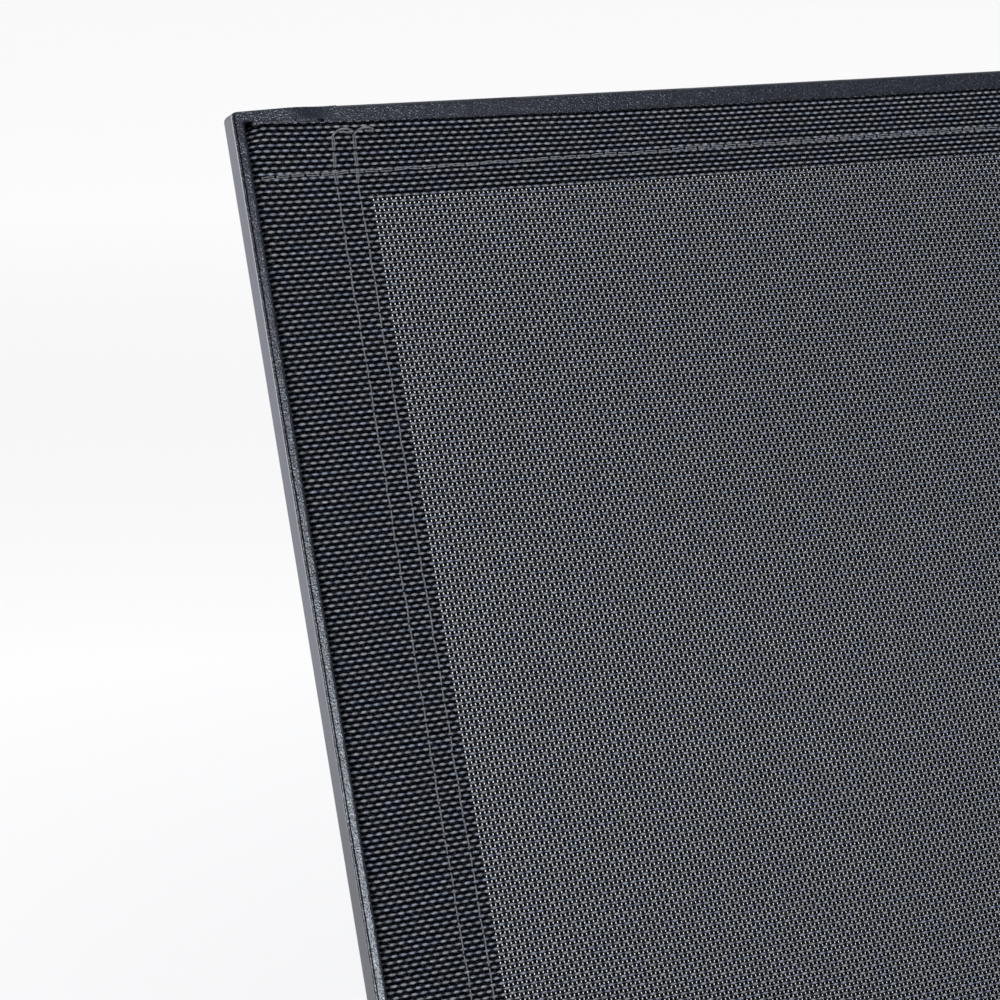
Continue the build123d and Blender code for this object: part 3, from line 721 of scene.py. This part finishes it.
def make_sling(name, body, outer, start, end, matrix, rests_on):
    """One sling: its cloth with the side loops, the hems across its ends and its seams."""
    half = sling_path(outer)
    lengths = [0.0]
    for (xa, ya), (xb, yb) in zip(half, half[1:]):
        lengths.append(lengths[-1] + hypot(xb - xa, yb - ya))
    columns = [(-u, -x, y) for u, (x, y) in zip(lengths, half)][:0:-1]
    columns += [(u, x, y) for u, (x, y) in zip(lengths, half)]
    edge = outer - SLOT_INSET
    hem = edge - HEM_WIDTH
    inner_end = end - HEM_DEPTH
    inner_start = start + HEM_DEPTH
    steps = round((inner_end - inner_start) / ROW_LENGTH)
    rows = [start + HEM_DEPTH * i / HEM_ROWS for i in range(HEM_ROWS)]
    rows += [inner_start + (inner_end - inner_start) * i / steps for i in range(steps)]
    rows += [inner_end + HEM_DEPTH * i / HEM_ROWS for i in range(HEM_ROWS + 1)]

    def near_ends(s, reach):
        """1 at the upper end, -1 at the lower, and 0 further than reach from both."""
        return max(0.0, (s - (end - reach)) / reach) - max(0.0, (start + reach - s) / reach)

    def place(x, s, y):
        """The cloth's ends rise towards the rails, and its corners are pulled in at the slot."""
        share = min(abs(x) / edge, 1.0)
        rise = (PULL_RISE * share**4 - PULL_SAG) * near_ends(s, PULL_REACH)
        tuck = TUCK * max(0.0, (share - TUCK_START) / (1 - TUCK_START))
        pulled = s + rise - tuck * near_ends(s, TUCK_REACH)
        return matrix @ (Vector((x, pulled, y)) * MM)

    def folded(u, s):
        """1 on the hems, which are two plies thick, and 0 on the open cloth."""
        return 0 if abs(u) < hem and inner_start < s < inner_end else 1

    cloth = sheet_grid(f"{name}_cloth", columns, rows, place, folded)
    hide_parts(name)
    flat = [(u, x, y - PLY - PLY_GAP) for u, x, y in columns if abs(u) <= hem + 0.01]
    hems = []
    for label, low, high in (("upper", inner_end, end), ("lower", start, inner_start)):
        hem_rows = [low + (high - low) * i / HEM_ROWS for i in range(HEM_ROWS + 1)]
        hems.append(sheet_grid(f"{name}_{label}_hem", flat, hem_rows, place, lambda *_: 1))

    # The side seams lean inward where they are sewn twice, and end in loose threads
    jitter = random.Random(SEED)
    side_seams, end_seams, behind = bmesh.new(), bmesh.new(), bmesh.new()
    front = 0.02 - CLOTH_DROP
    lean = 1.0
    side_places = [(side, side * (edge - inset)) for side in (-1, 1) for inset in SEAM_INSETS]
    end_places = (start + END_SEAM, end - END_SEAM)
    for side, x in side_places:
        bend = (x, end - TACK)
        stitch_row(side_seams, (x, start + SEAM_MARGIN), bend, front, jitter)
        last = (x - side * lean, end - TACK_MARGIN)
        stitch_row(side_seams, bend, last, front, jitter, TACK_SPREAD)
    for s in end_places:
        reach = edge - SEAM_MARGIN
        stitch_row(end_seams, (-reach, s), (reach, s), front, jitter, END_SPREAD, END_THREAD)
    for side, x in side_places:
        # Inward from the seam's end, down from the cloth's end, and up from the cloth
        curl = (
            (0.0, 3.6, 0.0),
            (0.4, 2.9, 0.45),
            (1.3, 2.3, 0.7),
            (2.6, 1.9, 0.75),
            (4.1, 1.9, 0.8),
            (5.1, 2.4, 0.9),
            (4.9, 3.0, 0.9),
            (4.0, 2.9, 0.8),
            (3.0, 2.6, 0.7),
        )
        points = [(x - side * (lean + inward), end - down, up) for inward, down, up in curl]
        thread_tail(side_seams, points, front)
    low, high = BEHIND_MARGINS
    for side, x in side_places:
        stitch_row(behind, (x, start + low), (x, end - high), 0.0, jitter)
    for s in end_places:
        reach = edge - LOOP_MARGIN
        stitch_row(behind, (-reach, s), (reach, s), 0.0, jitter)
    back_face = -CLOTH_DROP - 2 * PLY - PLY_GAP - 0.02
    mirror = Matrix.Translation((0, 0, back_face * MM)) @ Matrix.Diagonal((1, 1, -1, 1))
    threads = [
        finish_threads(f"{name}_side_seams", side_seams, matrix, side_thread),
        finish_threads(f"{name}_end_seams", end_seams, matrix, end_thread),
        finish_threads(f"{name}_seams_behind", behind, matrix @ mirror, side_thread),
    ]

    for piece in (cloth, *hems, *threads):
        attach(piece, body)


make_sling(
    "back_sling",
    "backrest",
    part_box("back_rail_right")[1].x / MM,
    *BACK_SLING_ENDS,
    BACK @ Matrix.Translation((0, 0, BACK_LIP)),
    ["back_rail_left", "back_rail_right", "back_sling_rods"],
)
seat_low, seat_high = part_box("seat_sling")
make_sling(
    "seat_sling",
    "base",
    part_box("base_rail_right")[1].x / MM,
    seat_low.y / MM,
    seat_high.y / MM,
    SEAT,
    ["base_rail_left", "base_rail_right", "seat_sling_rods"],
)


# Studio


def lamp(name, energy, size, way, colour=(1, 1, 1)):
    """A square soft light, way from the focus and turned to it. The camera doesn't see it."""
    data = bpy.data.lights.new(name, "AREA")
    data.energy = energy
    data.color = colour
    data.size = size
    item = bpy.data.objects.new(name, data)
    item.location = focus + Vector(way)
    item.rotation_euler = (focus - item.location).to_track_quat("-Z", "Y").to_euler()
    item.visible_camera = False
    bpy.context.scene.collection.objects.link(item)


# A studio that is brightest above and to the left, and dim behind the camera
BRIGHT_WAY = (-0.55, 0.35, 0.76)
DIM, BRIGHT = 0.2, 1.65  # the light from the dark side, and what the bright side adds
world = bpy.data.worlds.new("studio")
bpy.context.scene.world = world
world.use_nodes = True
sky = world.node_tree
sky.nodes.clear()
way = add(sky, "ShaderNodeTexCoord").outputs["Generated"]
bright_way = Vector(BRIGHT_WAY).normalized()
share = add(sky, "ShaderNodeVectorMath", {0: way, 1: bright_way}, operation="DOT_PRODUCT")
lit = add(sky, "ShaderNodeMath", {0: share.outputs["Value"], 1: 0.0}, operation="MAXIMUM")
strength = add(sky, "ShaderNodeMath", {0: lit, 1: BRIGHT, 2: DIM}, operation="MULTIPLY_ADD")
seen = add(sky, "ShaderNodeLightPath").outputs["Is Camera Ray"]
glow = add(
    sky,
    "ShaderNodeMix",
    {"Factor": seen, 2: strength, 3: 1.0},
    data_type="FLOAT",
).outputs[0]
backdrop = add(sky, "ShaderNodeBackground", {"Color": (1, 1, 1, 1), "Strength": glow})
add(sky, "ShaderNodeOutputWorld", {"Surface": backdrop})

# The floor is a wide sheet of matt white paper, painted darker near the lounger and lighter
# further out, painted shade and light that even out the lamps' light as it falls off with distance
FLOOR_RADIUS = 40.0
FLOOR_REACH = 8.0  # from the middle to the last of the tones
# The floor's painted shade and light: its tones from the middle outward, darker near, lighter far
FLOOR_PAINTED_LIGHT_TONES = ((0.26, "c0c0c1"), (0.42, "dededf"), (0.9, "f1f1f2"))
bpy.ops.object.select_all(action="DESELECT")
bpy.ops.mesh.primitive_circle_add(vertices=64, radius=FLOOR_RADIUS, fill_type="NGON")
floor = bpy.context.object
floor.name = "floor"
floor_finish, floor_tree = begin("matt_white_paper")
floor_place = add(floor_tree, "ShaderNodeTexCoord").outputs["Object"]
floor_reach = add(floor_tree, "ShaderNodeVectorMath", {0: floor_place}, operation="LENGTH")
floor_share = add(
    floor_tree,
    "ShaderNodeMath",
    {0: floor_reach.outputs["Value"], 1: FLOOR_REACH},
    operation="DIVIDE",
)
# Painted shade near the lounger and painted light far off, set by the distance from the middle
floor_painted_light = add(floor_tree, "ShaderNodeValToRGB", {"Fac": floor_share})
stops = floor_painted_light.color_ramp.elements
stops.new(FLOOR_PAINTED_LIGHT_TONES[1][0])
for stop, (position, tone) in zip(stops, FLOOR_PAINTED_LIGHT_TONES):
    stop.position = position
    stop.color = linear(tone)
floor_shader = add(
    floor_tree,
    "ShaderNodeBsdfPrincipled",
    {"Base Color": floor_painted_light, "Roughness": 0.9, "Specular IOR Level": 0.0},
)
add(floor_tree, "ShaderNodeOutputMaterial", {"Surface": floor_shader})
floor.data.materials.append(floor_finish)

# The lamps and the camera look at the cloth near the upper left corner of the backrest
focus = BACK @ Vector((-0.23506, 0.60832, 0.033))
COOL, LAVENDER = (0.92, 0.98, 1.08), (0.9, 0.91, 1.08)
lamp("left_softbox", 165, 2.2, (-1.8, 0.35, 0.7))
lamp("top_softbox", 3, 1.6, (-0.2, -0.6, 1.8))
lamp("front_softbox", 19, 0.4, (0.44, -1.41, 0.26), COOL)
lamp("rear_softbox", 1.6, 0.7, (-0.74, 1.58, -0.26), LAVENDER)

AZIMUTH, ELEVATION, ROLL = radians(-28.794), radians(12.728), radians(0.054)
DISTANCE = 0.85366
SENSOR, LENS = 36, 122.5  # in millimetres
toward = Vector((sin(AZIMUTH) * cos(ELEVATION), -cos(AZIMUTH) * cos(ELEVATION), sin(ELEVATION)))
camera_data = bpy.data.cameras.new("camera")
camera_data.sensor_width = SENSOR
camera_data.lens = LENS
camera_data.clip_start = 0.01
camera_data.clip_end = 200
camera = bpy.data.objects.new("camera", camera_data)
camera.location = focus + toward * DISTANCE
turn = (-toward).to_track_quat("-Z", "Y").to_matrix() @ Matrix.Rotation(-ROLL, 3, "Z")
camera.rotation_euler = turn.to_euler()
bpy.context.scene.collection.objects.link(camera)
bpy.context.scene.camera = camera
bpy.context.scene.view_settings.view_transform = "Standard"
